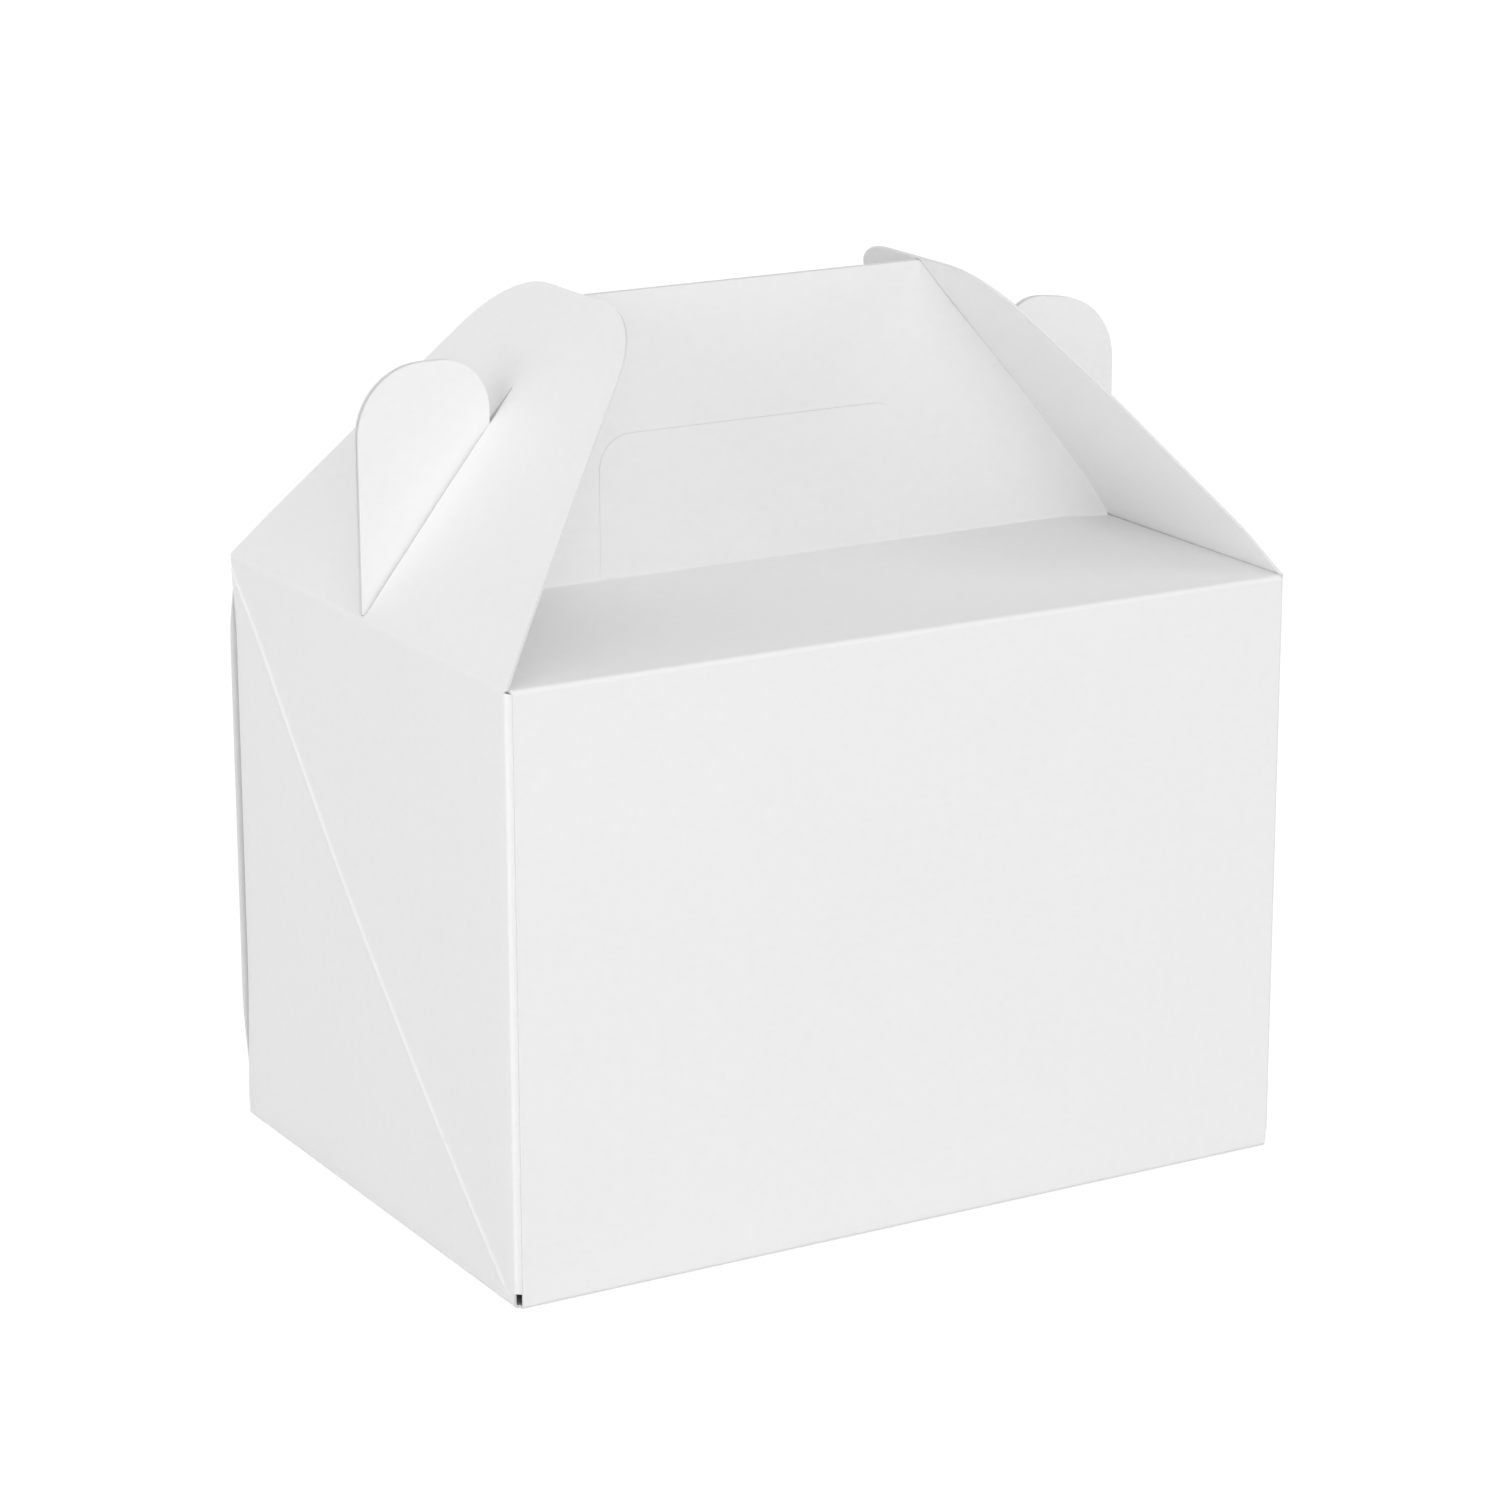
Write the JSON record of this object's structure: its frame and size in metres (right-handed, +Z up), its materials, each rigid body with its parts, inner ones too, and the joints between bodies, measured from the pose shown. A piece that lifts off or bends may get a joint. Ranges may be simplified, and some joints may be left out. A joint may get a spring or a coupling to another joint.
{
  "type": "paper lunch box",
  "caption": "White folded card lunch box with a flat roof, an upright carry handle, slotted end flaps hooked over its ears and die-cut hand tabs.",
  "frame": {"origin": "middle of the underside", "axes": "+X along the front from left to right, +Y from the front to the back, +Z up"},
  "size_m": [0.2006, 0.143, 0.2068],
  "materials": {
    "carton_card": "matt",
    "flap_card": "matt",
    "tab_card": "matt"
  },
  "bodies": {
    "carton": {"carton": "carton_card"},
    "left_end_flap": {"left_end_flap": "flap_card"},
    "right_end_flap": {"right_end_flap": "flap_card"},
    "front_hand_tab": {"front_hand_tab": "tab_card"},
    "back_hand_tab": {"back_hand_tab": "tab_card"}
  },
  "joints": [
    {"name": "left_end_flap_fold", "type": "hinge", "parent": "carton", "child": "left_end_flap", "pos_m": [-0.0997, 0, 0.1387], "axis": [0, -1, 0], "range_deg": [0, 150]},
    {"name": "right_end_flap_fold", "type": "hinge", "parent": "carton", "child": "right_end_flap", "pos_m": [0.0997, 0, 0.1387], "axis": [0, 1, 0], "range_deg": [0, 150]},
    {"name": "front_hand_tab_fold", "type": "hinge", "parent": "carton", "child": "front_hand_tab", "pos_m": [0, -0.0006, 0.1406], "axis": [1, 0, 0], "range_deg": [0, 90]},
    {"name": "back_hand_tab_fold", "type": "hinge", "parent": "carton", "child": "back_hand_tab", "pos_m": [0, 0.0006, 0.1406], "axis": [-1, 0, 0], "range_deg": [0, 90]}
  ]
}
